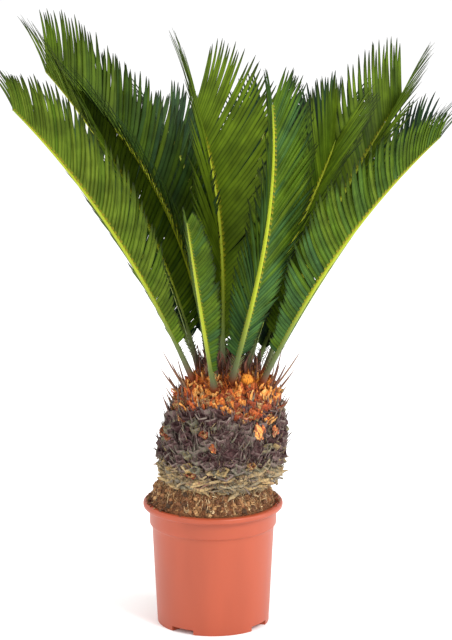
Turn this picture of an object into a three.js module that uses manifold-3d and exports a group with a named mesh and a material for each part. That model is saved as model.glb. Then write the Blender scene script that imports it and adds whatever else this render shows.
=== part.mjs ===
// A sago palm in its nursery pot, as a group of closed solids.
// Millimetres, +Z up. The origin is the centre of the pot's flat underside,
// +X is to the right and +Y to the back of the plant.
//
// The trunk is a squat barrel that leans a little to the right. Every frond is
// a thin blade folded along its rib like an open book: a bare leaf stalk, then
// two wings whose edges run along the tips of the leaflets.

import * as THREE from 'three';
import { mergeVertices } from 'three/addons/utils/BufferGeometryUtils.js';
import Module from 'manifold-3d';

const wasm = await Module();
wasm.setup();

// ---------------------------------------------------------------- sizes

// Air kept between two solids that touch on the real plant.
const GAP = 0.3;

// How far a cutter runs past the face it opens.
const CUT_PAST = 1;

const POT = {
  rimRadius: 95,
  height: 170,
  rimBand: 8.5,
  collarRadius: 86.5,
  collarDrop: 32,
  wallTopRadius: 83,
  footRadius: 76,
  wall: 1.8,
  floor: 3.5,
  softEdge: 1.2,
  segments: 56,
};

// The foot is a ring cut by four drainage notches, turned so that none is at the front.
const NOTCH = {
  count: 4,
  firstAngle: 56.3,
  span: 26,
  height: 7,
  innerRadius: 60,
  roof: 2,
  arcSegments: 6,
};

// The soil is a mound: its level at the pot's wall and at the trunk, and how far it
// runs in under the trunk's foot.
const SOIL = {
  rimLevel: 166,
  trunkLevel: 200,
  underTrunk: 4,
  moundSteps: 4,
  segments: 40,
};

// The trunk's outline as radius and height, from its foot on the soil to the crown dome.
const TRUNK = {
  footLevel: 192,
  outline: [
    [66, 192],
    [75, 203],
    [82, 219],
    [85, 237],
    [84, 260],
    [80, 284],
    [73, 307],
    [66, 323],
    [55, 337],
    [38, 348],
    [20, 353],
  ],
  waistLevel: 240,
  topLevel: 354,
  footOffset: 8.5,
  leanSlope: 0.09,
  segments: 36,
};

// Where the fronds stand: the dome's height at a distance from the crown's centre.
const CROWN = {
  centreX: 20,
  domeTop: 352,
  domeRadius: 62,
  domeDrop: 24,
  stalkSink: 5,
};

// One frond: the share of the rib that is bare stalk, and the sizes of stalk and blade.
// The stalk's sides are thinner than its middle by the edge share.
const BLADE = {
  stalkShare: 0.13,
  stalkWidth: 11,
  stalkDepth: 8,
  stalkEdgeShare: 0.66,
  ribWidth: 3,
  ribDepth: 2.4,
  edgeThickness: 1.2,
  stalkSteps: 2,
  bladeSteps: 9,
  ribSamples: 60,
  bendPower: 1.2,
  crossingGap: 0.6,
};

// How the leaflets' length and forward angle change from the stalk to the tip.
const LEAFLET = {
  shortest: 0.2,
  fullFrom: 0.45,
  shrinkFrom: 0.72,
  anglePlaces: [0, 0.35, 0.8, 1],
  angleSpread: 4,
  keelPlaces: [0, 0.4, 1],
};

// What a frond has unless its row says otherwise: degrees and millimetres.
//   azimuth   the way the frond leans, anticlockwise from +X seen from above
//   root      the way from the crown's centre to the stalk's foot, and rootRadius how far
//   lean      the rib's angle from upright at its foot and at its tip
//   sweep     how far the azimuth turns along the rib
//   roll      the blade's turn about its rib at the foot and at the tip
//   keelLeft  how far the wing on the left, looking outward, is folded up at the foot,
//             low down and at the tip, and keelRight the same for the other wing
//   leaflet   the longest leaflet, and tipShare how long the last ones are beside it
//   angle     the leaflets' angle from the rib low down, halfway and at the tip
const USUAL = {
  sweep: 0,
  roll: [0, 0],
  keelLeft: [38, 38, 38],
  keelRight: [38, 38, 38],
  leaflet: 112,
  tipShare: 0.75,
  angle: [60, 42, 22],
};

const FRONDS = [
  {
    name: 'frond_left_inner', azimuth: 158, root: 143, rootRadius: 33, lean: [5, 53], length: 397,
    sweep: -13, roll: [20, 24], keelLeft: [62, 64, 64], keelRight: [34, 34, 34], tipShare: 0.85,
    angle: [60, 44, 32],
  },
  {
    name: 'frond_front_left', azimuth: 203, root: 196, rootRadius: 47, lean: [24, 45], length: 473,
    sweep: 8, roll: [-10, -26], keelLeft: [27, 27, 34], keelRight: [24, 30, 80], leaflet: 119,
    tipShare: 0.42, angle: [60, 34, 26],
  },
  {
    name: 'frond_left_tall', azimuth: 151, root: 167, rootRadius: 38, lean: [17, 47], length: 467,
    sweep: 3, roll: [10, 8], keelLeft: [44, 36, 64], keelRight: [30, 30, 50], leaflet: 138,
    tipShare: 0.64, angle: [60, 39, 34],
  },
  {
    name: 'frond_centre_tall', azimuth: 84, root: 250, rootRadius: 22, lean: [17, 50], length: 395,
    sweep: 29, roll: [2, -28], keelLeft: [50, 56, 45], keelRight: [46, 46, 60], leaflet: 153,
    tipShare: 0.7, angle: [60, 45, 28],
  },
  {
    name: 'frond_front_centre', azimuth: -73, root: -84, rootRadius: 40, lean: [34, -6],
    length: 420, sweep: 38, roll: [8, 42], keelLeft: [30, 37, 37], keelRight: [35, 94, 96],
    leaflet: 108, tipShare: 0.5, angle: [66, 42, 32],
  },
  {
    name: 'frond_front_right', azimuth: -38, root: -28, rootRadius: 50, lean: [28, 46], length: 453,
    sweep: 12, roll: [12, 4], keelLeft: [30, 30, 30], keelRight: [30, 30, 30], leaflet: 106,
    tipShare: 0.4, angle: [60, 44, 26],
  },
  {
    name: 'frond_right_tall', azimuth: 32, root: 6, rootRadius: 46, lean: [24, 55], length: 452,
    sweep: 22, roll: [-6, 0], keelLeft: [36, 36, 62], keelRight: [36, 20, 62], leaflet: 136,
    tipShare: 0.62, angle: [60, 39, 34],
  },
  {
    name: 'frond_right_inner', azimuth: 16, root: -32, rootRadius: 28, lean: [15, 58], length: 370,
    sweep: 58, roll: [0, -8], keelLeft: [50, 66, 70], keelRight: [30, 42, 48], leaflet: 125,
    tipShare: 0.8, angle: [60, 44, 16],
  },
  {
    name: 'frond_front_low', azimuth: -100, root: -110, rootRadius: 52, lean: [38, 34], length: 335,
    roll: [34, 34], keelLeft: [36, 36, 36], keelRight: [36, 36, 36], leaflet: 50, tipShare: 0.5,
    angle: [58, 34, 22],
  },
  {
    name: 'frond_back_left_inner', azimuth: 94, root: 112, rootRadius: 27, lean: [36, 58],
    length: 405, sweep: 21, roll: [-5, -5], keelLeft: [40, 40, 40], keelRight: [40, 40, 40],
    leaflet: 108, tipShare: 0.9, angle: [60, 42, 25],
  },
  {
    name: 'frond_back_inner', azimuth: 80, root: 70, rootRadius: 14, lean: [38, 54], length: 415,
  },
  {
    name: 'frond_back_right_inner', azimuth: 62, root: 38, rootRadius: 30, lean: [36, 52],
    length: 412,
  },
  {
    name: 'frond_right_outer', azimuth: 36, root: 26, rootRadius: 54, lean: [36, 52], length: 400,
    keelRight: [50, 50, 50], leaflet: 120,
  },
  {
    name: 'frond_back_1', azimuth: 132, root: 126, rootRadius: 54, lean: [38, 60], length: 430,
    keelLeft: [35, 35, 35], keelRight: [35, 35, 35],
  },
  {
    name: 'frond_back_2', azimuth: 106, root: 108, rootRadius: 52, lean: [42, 64], length: 450,
    keelLeft: [35, 35, 35], keelRight: [35, 35, 35],
  },
  {
    name: 'frond_back_3', azimuth: 84, root: 86, rootRadius: 52, lean: [48, 66], length: 450,
    keelLeft: [35, 35, 35], keelRight: [35, 35, 35],
  },
  {
    name: 'frond_back_4', azimuth: 66, root: 67, rootRadius: 52, lean: [41, 60], length: 440,
    keelLeft: [35, 35, 35], keelRight: [35, 35, 35],
  },
  {
    name: 'frond_back_5', azimuth: 65, root: 52, rootRadius: 54, lean: [51, 67], length: 380,
    keelLeft: [35, 35, 35], keelRight: [35, 35, 35],
  },
];

const COLOURS = {
  pot: 0xd9704f,
  soil: 0x6a4a31,
  trunk: 0x5d4c45,
  blade: 0x4f7f2a,
};

// ---------------------------------------------------------------- helpers

const rad = THREE.MathUtils.degToRad;
const { clamp, lerp, smoothstep } = THREE.MathUtils;

// Reads the value at x from a curve given by its places and values.
function along(x, places, values) {
  let i = 0;
  while (i < places.length - 2 && x > places[i + 1]) {
    i += 1;
  }
  const share = clamp((x - places[i]) / (places[i + 1] - places[i]), 0, 1);
  return lerp(values[i], values[i + 1], share);
}

function toSolid(geometry) {
  const bare = geometry.clone();
  bare.deleteAttribute('normal');
  bare.deleteAttribute('uv');
  const merged = mergeVertices(bare, 1e-3);
  return new wasm.Manifold(new wasm.Mesh({
    numProp: 3,
    vertProperties: new Float32Array(merged.attributes.position.array),
    triVerts: new Uint32Array(merged.index.array),
  }));
}

function toGeometry(solid) {
  const mesh = solid.getMesh();
  const geometry = new THREE.BufferGeometry();
  geometry.setAttribute('position', new THREE.BufferAttribute(mesh.vertProperties, 3));
  geometry.setIndex(new THREE.BufferAttribute(mesh.triVerts, 1));
  geometry.computeVertexNormals();
  return geometry;
}

// A turned solid with its axis along +Z, from [radius, height] points.
function turned(outline, segments) {
  const points = outline.map(([radius, height]) => new THREE.Vector2(radius, height));
  return new THREE.LatheGeometry(points, segments).rotateX(Math.PI / 2);
}

// A block between two radii and two angles, standing on the level z.
function arcBlock(inner, outer, middleAngle, span, z, height) {
  const from = rad(middleAngle - span / 2);
  const to = rad(middleAngle + span / 2);
  const shape = new THREE.Shape();
  shape.absarc(0, 0, outer, from, to, false);
  shape.absarc(0, 0, inner, to, from, true);
  shape.closePath();
  const options = { depth: height, bevelEnabled: false, curveSegments: NOTCH.arcSegments };
  return toSolid(new THREE.ExtrudeGeometry(shape, options).translate(0, 0, z));
}

function named(name, geometry, colour, roughness) {
  const material = new THREE.MeshStandardMaterial({ color: colour, roughness, metalness: 0 });
  const mesh = new THREE.Mesh(geometry, material);
  mesh.name = name;
  return mesh;
}

// ---------------------------------------------------------------- pot

// The inside radius of the pot's wall at a height.
function potInside(z) {
  const collar = POT.height - POT.collarDrop;
  if (z >= collar) {
    return POT.collarRadius - POT.wall;
  }
  return lerp(POT.footRadius, POT.wallTopRadius, z / collar) - POT.wall;
}

function notchAngles() {
  return Array.from({ length: NOTCH.count }, (_, i) => NOTCH.firstAngle + (i * 360) / NOTCH.count);
}

function makePot() {
  const collar = POT.height - POT.collarDrop;
  const bandLow = POT.height - POT.rimBand;
  const soft = POT.softEdge;
  const rimInside = potInside(POT.height);
  const outline = [
    [0, 0],
    [POT.footRadius, 0],
    [POT.wallTopRadius, collar - soft],
    [POT.collarRadius - soft, collar + soft],
    [POT.collarRadius, bandLow],
    [POT.rimRadius - soft, bandLow],
    [POT.rimRadius, bandLow + soft],
    [POT.rimRadius, POT.height - soft],
    [POT.rimRadius - soft, POT.height],
    [rimInside + soft, POT.height],
    [rimInside, POT.height - soft],
    [rimInside, collar + POT.wall],
    [potInside(collar - POT.wall), collar - POT.wall],
    [potInside(POT.floor), POT.floor],
    [0, POT.floor],
  ];
  let pot = toSolid(turned(outline, POT.segments));
  for (const angle of notchAngles()) {
    const outer = potInside(NOTCH.height) + POT.wall / 2;
    const roofed = arcBlock(
      NOTCH.innerRadius - NOTCH.roof, outer, angle, NOTCH.span + 2 * NOTCH.roof,
      POT.floor / 2, NOTCH.height + NOTCH.roof - POT.floor / 2,
    );
    pot = pot.add(roofed);
  }
  for (const angle of notchAngles()) {
    const depth = NOTCH.height + CUT_PAST;
    pot = pot.subtract(arcBlock(NOTCH.innerRadius, POT.rimRadius, angle, NOTCH.span, -CUT_PAST, depth));
  }
  return pot;
}

// ---------------------------------------------------------------- trunk and soil

// The trunk, grown all round by a margin so that a neighbour can be cut back from it.
function trunkSolid(margin) {
  const side = TRUNK.outline.map(([radius, height]) => {
    const away = height > TRUNK.waistLevel ? margin : -margin;
    return [radius + margin, height + away];
  });
  const outline = [[0, TRUNK.footLevel - margin], ...side, [0, TRUNK.topLevel + margin]];
  const barrel = turned(outline, TRUNK.segments);
  const shear = new THREE.Matrix4().makeShear(0, 0, 0, 0, TRUNK.leanSlope, 0);
  const offset = TRUNK.footOffset - TRUNK.leanSlope * TRUNK.footLevel;
  barrel.applyMatrix4(shear);
  barrel.translate(offset, 0, 0);
  return toSolid(barrel);
}

function makeSoil() {
  const innerRadius = TRUNK.outline[0][0] - SOIL.underTrunk;
  const outerRadius = potInside(SOIL.rimLevel) - GAP;
  const collar = POT.height - POT.collarDrop;
  const mound = Array.from({ length: SOIL.moundSteps + 1 }, (_, i) => {
    const share = i / SOIL.moundSteps;
    const level = lerp(SOIL.rimLevel, SOIL.trunkLevel, Math.sin((share * Math.PI) / 2));
    return [lerp(outerRadius, innerRadius, share), level];
  });
  const outline = [
    [0, POT.floor + GAP],
    [potInside(POT.floor) - GAP, POT.floor + GAP],
    [potInside(collar - POT.wall) - GAP, collar - POT.wall],
    [outerRadius, collar + POT.wall],
    ...mound,
    [0, SOIL.trunkLevel],
  ];
  let soil = toSolid(turned(outline, SOIL.segments));
  for (const angle of notchAngles()) {
    soil = soil.subtract(arcBlock(
      NOTCH.innerRadius - NOTCH.roof - GAP, POT.rimRadius, angle, NOTCH.span + 2 * NOTCH.roof + CUT_PAST,
      0, NOTCH.height + NOTCH.roof + GAP,
    ));
  }
  return soil.subtract(trunkSolid(GAP));
}

// ---------------------------------------------------------------- fronds

// Directions on the rib at a share of its length: along it, out of the upper face, and sideways.
function ribFrame(frond, share) {
  const lean = rad(lerp(frond.lean[0], frond.lean[1], share ** BLADE.bendPower));
  const azimuth = rad(frond.azimuth + frond.sweep * share);
  const roll = rad(lerp(frond.roll[0], frond.roll[1], share));
  const outward = new THREE.Vector3(Math.cos(azimuth), Math.sin(azimuth), 0);
  const up = new THREE.Vector3(0, 0, 1);
  const sideways = new THREE.Vector3(-Math.sin(azimuth), Math.cos(azimuth), 0);
  const forward = outward.clone().multiplyScalar(Math.sin(lean)).addScaledVector(up, Math.cos(lean));
  const inward = outward.clone().multiplyScalar(-Math.cos(lean)).addScaledVector(up, Math.sin(lean));
  const face = inward.clone().multiplyScalar(Math.cos(roll)).addScaledVector(sideways, Math.sin(roll));
  const side = sideways.clone().multiplyScalar(Math.cos(roll)).addScaledVector(inward, -Math.sin(roll));
  return { forward, face, side };
}

// The foot of a frond's stalk on the crown's dome.
function stalkFoot(frond) {
  const angle = rad(frond.root);
  const drop = CROWN.domeDrop * (frond.rootRadius / CROWN.domeRadius) ** 2;
  return new THREE.Vector3(
    CROWN.centreX + frond.rootRadius * Math.cos(angle),
    frond.rootRadius * Math.sin(angle),
    CROWN.domeTop - drop,
  );
}

// The rib as evenly spaced points, each one step on from the last.
function ribPoints(frond) {
  const step = frond.length / BLADE.ribSamples;
  const points = [stalkFoot(frond)];
  for (let i = 0; i < BLADE.ribSamples; i += 1) {
    const { forward } = ribFrame(frond, (i + 0.5) / BLADE.ribSamples);
    points.push(points[i].clone().addScaledVector(forward, step));
  }
  return points;
}

function ribPoint(points, share) {
  const place = clamp(share, 0, 1) * (points.length - 1);
  const i = Math.min(Math.floor(place), points.length - 2);
  return points[i].clone().lerp(points[i + 1], place - i);
}

// The leaflets at a share of the blade: length, angle from the rib and fold of their wing.
function leafletAt(frond, share, across) {
  const growth = lerp(LEAFLET.shortest, 1, smoothstep(share, 0, LEAFLET.fullFrom));
  const shrink = clamp((share - LEAFLET.shrinkFrom) / (1 - LEAFLET.shrinkFrom), 0, 1) ** 2;
  const [low, middle, tip] = frond.angle;
  const angles = [low, middle + LEAFLET.angleSpread, middle - LEAFLET.angleSpread, tip];
  const keels = across > 0 ? frond.keelLeft : frond.keelRight;
  return {
    length: frond.leaflet * growth * lerp(1, frond.tipShare, shrink),
    angle: rad(along(share, LEAFLET.anglePlaces, angles)),
    keel: rad(along(share, LEAFLET.keelPlaces, keels)),
  };
}

// A point of the frond's skin. Across runs from -1 to 1 over the two wings, with 0 on
// the rib, and layer is 1 on the upper face and -1 on the lower one.
function frondPoint(frond, points, place, across, layer, margin) {
  const share = clamp(place, 0, 1);
  const { forward, face, side } = ribFrame(frond, share);
  const point = ribPoint(points, share);
  const bladeShare = (share - BLADE.stalkShare) / (1 - BLADE.stalkShare);
  const onBlade = bladeShare > -1e-6;
  const depth = onBlade ? BLADE.ribDepth : lerp(BLADE.stalkDepth, BLADE.ribDepth, share / BLADE.stalkShare);
  if (place < 0) {
    point.addScaledVector(forward, -CROWN.stalkSink);
  }
  if (place === 1) {
    point.addScaledVector(forward, 2 * margin);
  }
  if (across === 0) {
    return point.addScaledVector(face, layer * (depth / 2 + margin));
  }
  if (!onBlade) {
    const width = lerp(BLADE.stalkWidth, BLADE.ribWidth, share / BLADE.stalkShare);
    point.addScaledVector(side, across * (width / 2 + margin));
    return point.addScaledVector(face, layer * ((depth * BLADE.stalkEdgeShare) / 2 + margin));
  }
  const leaflet = leafletAt(frond, clamp(bladeShare, 0, 1), across);
  const wing = side.clone().multiplyScalar(across * Math.cos(leaflet.keel));
  wing.addScaledVector(face, Math.sin(leaflet.keel));
  const wingFace = side.clone().multiplyScalar(-across * Math.sin(leaflet.keel));
  wingFace.addScaledVector(face, Math.cos(leaflet.keel));
  const reach = leaflet.length + margin;
  point.addScaledVector(forward, reach * Math.cos(leaflet.angle));
  point.addScaledVector(wing, reach * Math.sin(leaflet.angle));
  return point.addScaledVector(wingFace, layer * (BLADE.edgeThickness / 2 + margin));
}

// The places along the rib where the skin has a section, the first one inside the trunk.
function frondPlaces() {
  const places = [-1];
  for (let i = 0; i < BLADE.stalkSteps; i += 1) {
    places.push((BLADE.stalkShare * i) / BLADE.stalkSteps);
  }
  for (let i = 0; i <= BLADE.bladeSteps; i += 1) {
    places.push(lerp(BLADE.stalkShare, 1, i / BLADE.bladeSteps));
  }
  return places;
}

// Gives the cells on the underside of a box the same diagonals as those on its upper side,
// so that a twisted blade keeps its thickness.
function matchDiagonals(box) {
  const undersideSlot = 3;
  const { index, groups } = box;
  const { start, count } = groups.find((group) => group.materialIndex === undersideSlot);
  for (let i = start; i < start + count; i += 6) {
    const [a, b, d, c] = [i, i + 1, i + 2, i + 4].map((k) => index.getX(k));
    [a, b, c, a, c, d].forEach((corner, k) => index.setX(i + k, corner));
  }
}

// The blade is a flat box of two strips, whose corners are moved onto the frond's skin.
function frondSolid(frond, margin) {
  const points = ribPoints(frond);
  const places = frondPlaces();
  const steps = places.length - 1;
  const box = new THREE.BoxGeometry(2, 2, steps, 2, 1, steps);
  matchDiagonals(box);
  const corners = box.attributes.position;
  for (let i = 0; i < corners.count; i += 1) {
    const place = places[Math.round(corners.getZ(i) + steps / 2)];
    const across = Math.round(corners.getX(i));
    const layer = Math.round(corners.getY(i));
    const moved = frondPoint(frond, points, place, across, layer, margin);
    corners.setXYZ(i, moved.x, moved.y, moved.z);
  }
  return toSolid(box);
}

function largestPiece(solid) {
  const pieces = solid.decompose();
  return pieces.reduce((best, piece) => (piece.volume() > best.volume() ? piece : best));
}

function boxesMeet(a, b) {
  const first = a.boundingBox();
  const second = b.boundingBox();
  return [0, 1, 2].every((k) => first.min[k] < second.max[k] && second.min[k] < first.max[k]);
}

// The fronds in order, each cut back where it would pass through one before it.
function makeFronds(trunkRoom) {
  const grown = [];
  return FRONDS.map((row) => {
    const frond = { ...USUAL, ...row };
    let solid = frondSolid(frond, 0).subtract(trunkRoom);
    for (const other of grown) {
      if (boxesMeet(solid, other)) {
        solid = solid.subtract(other);
      }
    }
    grown.push(frondSolid(frond, BLADE.crossingGap));
    return { name: frond.name, solid: largestPiece(solid) };
  });
}

// ---------------------------------------------------------------- the plant

const palm = new THREE.Group();
palm.add(named('pot', toGeometry(makePot()), COLOURS.pot, 0.5));
palm.add(named('soil', toGeometry(makeSoil()), COLOURS.soil, 1));
palm.add(named('trunk', toGeometry(trunkSolid(0)), COLOURS.trunk, 0.95));
for (const { name, solid } of makeFronds(trunkSolid(GAP))) {
  palm.add(named(name, toGeometry(solid), COLOURS.blade, 0.45));
}

export default palm;
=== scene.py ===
"""A potted sago palm: pot, potting mix, scaly trunk, and fronds leaflet by leaflet. The tables are in millimetres."""

import math
from types import SimpleNamespace as Sizes

import bpy
import numpy as np
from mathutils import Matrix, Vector, noise


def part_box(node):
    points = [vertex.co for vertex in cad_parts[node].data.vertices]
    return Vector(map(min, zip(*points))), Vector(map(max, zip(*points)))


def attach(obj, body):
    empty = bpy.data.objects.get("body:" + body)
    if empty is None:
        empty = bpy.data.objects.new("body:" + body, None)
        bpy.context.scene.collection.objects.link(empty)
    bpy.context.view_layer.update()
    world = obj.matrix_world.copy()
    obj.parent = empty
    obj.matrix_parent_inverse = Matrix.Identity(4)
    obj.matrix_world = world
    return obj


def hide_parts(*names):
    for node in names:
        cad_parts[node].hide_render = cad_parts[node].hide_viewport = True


bl_info = {
    "name": "Sago Palm",
    "version": (1, 0, 0),
    "blender": (4, 5, 0),
    "location": "View3D > Sidebar > Sago Palm",
    "description": "Builds a potted sago palm leaf by leaf round its packed solids",
    "category": "Add Mesh",
}

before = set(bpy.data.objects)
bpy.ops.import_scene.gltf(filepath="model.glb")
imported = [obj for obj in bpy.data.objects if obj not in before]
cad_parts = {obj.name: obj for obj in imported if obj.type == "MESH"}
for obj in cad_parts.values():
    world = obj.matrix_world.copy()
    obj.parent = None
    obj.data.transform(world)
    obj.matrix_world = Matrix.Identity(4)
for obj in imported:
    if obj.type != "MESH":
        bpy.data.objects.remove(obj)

MM = 0.001
TAU = 2 * math.pi
BODY = "root"
UP = np.array([0.0, 0.0, 1.0])
GOLDEN_TURN = math.radians(137.508)

# ---- tables

# The crown's centre and the dome that the leaf stalks stand on.
CROWN = Sizes(centre_x=20, dome_top=352, dome_radius=62, dome_drop=24)

# The trunk's outline as radius and height; then how its middle line leans to the right, the levels
# where its colours change, how deep an old leaf base is rooted, and how deep and rough the core is.
TRUNK_OUTLINE = [
    (66, 192), (75, 203), (82, 219), (85, 237), (84, 260), (80, 284),
    (73, 307), (66, 323), (55, 337), (38, 348), (20, 353), (0.5, 354),
]
TRUNK = Sizes(
    foot_level=192, foot_offset=8.5, lean_slope=0.09, widest=84, red_core_level=308, grey_level=230, rooted=7.5,
    core_depth=5.5, core_rough=2.2,
)

# The ragged line where the torn wool begins: its mean level, and the dip on the right of the front.
# The knob is the bud of the next leaves.
WOOL = Sizes(level=305, ragged=13, dip=14, dip_turn=-52, dip_span=0.35)
KNOB = Sizes(turn=-57.6, level=345.5, radius=8.6)

POT = Sizes(
    height=170, rim_radius=95, rim_band=8.5, collar_radius=86.5, collar_drop=32, wall_top_radius=83,
    foot_radius=76, wall=1.8, floor=3.5,
)
NOTCH = Sizes(count=4, first_angle=56.3, span=26, height=7, inner_radius=60, roof=2)
SOIL = Sizes(
    rim_level=166, trunk_level=200, inner_radius=62, edge=84.2, clear_edge=83.5, bottom=148, spill=91.5,
    heap=6.5, heap_radius=80, heap_width=9, lumps=4.2, grit=1.5,
)

# How many of each small thing grow or lie there, and between which levels the trunk's own do.
GROWN = Sizes(
    leaf_bases=300, torn_wool=1700, ledges=400, foot_flakes=560, fibres=3600, rootlets=900, spines=300,
    scale_leaves=190, tufts=3000, crumbs=3400, spilled=420, threads=900, rib_thorns=8, wound_flakes=14,
)
LEVELS = Sizes(
    leaf_bases=(219, 316), torn_wool=288, long_ledges=(196, 219), ledges=(196, 233), foot_flakes=(196, 238),
    fibres=(212, 322), rootlets=(194, 226), spines=(222, 322),
)

# Share of each rib that carries no leaflets, and the power of its bend.
STALK_SHARE = 0.13
BEND_POWER = 1.2

# What a frond has unless its row says otherwise. Angles are in degrees, sizes in millimetres.
# Keels are the folds of the left and the right wing, each one angle or three: at the foot, low
# down and at the tip. Tone runs from 0, an old blue-green leaf, to 1, a fresh yellow-green one;
# the low tones of the fronds deep at the back are partly painted shade.
USUAL = dict(sweep=0, roll=(0, 0), keels=(38, 38), leaflet=112, tip_share=0.75, angle=(60, 42, 22), tone=0.35)
FRONDS = {
    "left_inner": dict(
        azimuth=158, root=143, root_radius=33, lean=(5, 53), length=397, sweep=-13, roll=(20, 24),
        keels=((62, 64, 64), 34), tip_share=0.85, angle=(60, 44, 32), tone=0.45,
    ),
    "front_left": dict(
        azimuth=203, root=196, root_radius=47, lean=(24, 45), length=473, sweep=8, roll=(-10, -26),
        keels=((27, 27, 34), (24, 30, 80)), leaflet=119, tip_share=0.42, angle=(60, 34, 26), tone=0.85,
    ),
    "left_tall": dict(
        azimuth=151, root=167, root_radius=38, lean=(17, 47), length=467, sweep=3, roll=(10, 8),
        keels=((44, 36, 64), (30, 30, 50)), leaflet=138, tip_share=0.64, angle=(60, 39, 34), tone=0.8,
    ),
    "centre_tall": dict(
        azimuth=84, root=250, root_radius=22, lean=(17, 50), length=395, sweep=29, roll=(2, -28),
        keels=((50, 56, 45), (46, 46, 60)), leaflet=156, tip_share=0.7, angle=(60, 45, 28), tone=1.0,
    ),
    "front_centre": dict(
        azimuth=-73, root=-84, root_radius=40, lean=(34, -6), length=420, sweep=38, roll=(8, 42),
        keels=((30, 37, 37), (35, 94, 96)), leaflet=108, tip_share=0.5, angle=(66, 42, 32), tone=0.4,
    ),
    "front_right": dict(
        azimuth=-38, root=-28, root_radius=50, lean=(28, 46), length=453, sweep=12, roll=(12, 4),
        keels=(30, 30), leaflet=106, tip_share=0.4, angle=(60, 44, 26), tone=0.5,
    ),
    "right_tall": dict(
        azimuth=32, root=6, root_radius=46, lean=(24, 55), length=452, sweep=22, roll=(-6, 0),
        keels=((36, 36, 62), (36, 20, 62)), leaflet=136, tip_share=0.62, angle=(60, 39, 34), tone=0.8,
    ),
    "right_inner": dict(
        azimuth=16, root=-32, root_radius=28, lean=(15, 58), length=370, sweep=58, roll=(0, -8),
        keels=((50, 66, 70), (30, 42, 48)), leaflet=125, tip_share=0.8, angle=(60, 44, 16), tone=0.75,
    ),
    "front_low": dict(
        azimuth=-100, root=-110, root_radius=52, lean=(38, 34), length=335, roll=(34, 34),
        keels=(36, 36), leaflet=50, tip_share=0.5, angle=(58, 34, 22), tone=0.55,
    ),
    # The low tones of back_left_inner, back_inner, back_right_inner and right_outer stand partly for their age and
    # partly for painted shade, as these fronds lie in the shade at the back of the crown.
    "back_left_inner": dict(
        azimuth=94, root=112, root_radius=27, lean=(36, 58), length=405, sweep=21, roll=(-5, -5),
        keels=(40, 40), leaflet=108, tip_share=0.9, angle=(60, 42, 25), tone=0.25,
    ),
    "back_inner": dict(azimuth=80, root=70, root_radius=14, lean=(38, 54), length=415, tone=0.05),
    "back_right_inner": dict(azimuth=62, root=38, root_radius=30, lean=(36, 52), length=412, tone=0.1),
    "right_outer": dict(
        azimuth=36, root=26, root_radius=54, lean=(36, 52), length=400, keels=(38, 50), leaflet=120, tone=0.0,
    ),
    "back_1": dict(azimuth=132, root=126, root_radius=54, lean=(38, 60), length=430, keels=(35, 35)),
    "back_2": dict(azimuth=106, root=108, root_radius=52, lean=(42, 64), length=450, keels=(35, 35)),
    "back_3": dict(azimuth=84, root=86, root_radius=52, lean=(48, 66), length=450, keels=(35, 35)),
    "back_4": dict(azimuth=66, root=67, root_radius=52, lean=(41, 60), length=440, keels=(35, 35)),
    "back_5": dict(azimuth=65, root=52, root_radius=54, lean=(51, 67), length=380, keels=(35, 35)),
}

# The fronds whose leaflets are joined into one piece.
LEAFLET_PIECES = {
    "leaflets_front": ("front_left", "front_low", "front_centre", "front_right"),
    "leaflets_left": ("left_inner", "left_tall", "back_left_inner", "centre_tall"),
    "leaflets_right": ("right_tall", "right_inner", "right_outer", "back_right_inner", "back_inner"),
    "leaflets_back": ("back_1", "back_2", "back_3", "back_4", "back_5"),
}

# ---- helpers


def linear(colour):
    """Turns sRGB hex such as "#4B6412" into linear RGBA."""
    parts = [int(colour[i : i + 2], 16) / 255 for i in (1, 3, 5)]
    return (*(c / 12.92 if c <= 0.04045 else ((c + 0.055) / 1.055) ** 2.4 for c in parts), 1.0)


def feed(tree, made, inputs):
    """Sets a node's inputs, each to a value or by a link."""
    for name, value in inputs.items():
        if isinstance(value, bpy.types.NodeSocket):
            tree.links.new(value, made.inputs[name])
        else:
            made.inputs[name].default_value = value


def node(tree, kind, output, inputs=None, stops=(), **settings):
    """Adds a shader node with its settings, inputs and colour stops, and gives one of its outputs."""
    made = tree.nodes.new("ShaderNode" + kind)
    for name, value in settings.items():
        setattr(made, name, value)
    feed(tree, made, inputs or {})
    for i, (place, colour) in enumerate(stops):
        band = made.color_ramp.elements
        stop = band[i] if i < 2 else band.new(place)
        stop.position = place
        stop.color = linear(colour) if isinstance(colour, str) else colour
    return made.outputs[output]


def smooth(x):
    x = np.clip(x, 0, 1)
    return x * x * (3 - 2 * x)


def unit(v):
    return v / (np.linalg.norm(v, axis=-1, keepdims=True) + 1e-12)


def polar(radius, turn):
    return radius * math.cos(turn), radius * math.sin(turn)


def facing_out(rings):
    """The rings, reversed where their skin would face inward."""
    n = rings.shape[1]
    across, over = rings[1, 0] - rings[1, n // 2], rings[1, n // 4] - rings[1, 3 * n // 4]
    ahead = rings[-1].mean(0) - rings[0].mean(0)
    return rings if np.dot(np.cross(across, over), ahead) > 0 else rings[:, ::-1]


def bowed(spot, way, bow, reach, shares=(0, 0.3, 0.6, 0.85, 1)):
    """A path that bends off its way."""
    return [spot + reach * (way * k + bow * k * k) for k in shares]


def put(name, data):
    """A new object in the scene."""
    made = bpy.data.objects.new(name, data)
    bpy.context.collection.objects.link(made)
    return made


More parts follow.
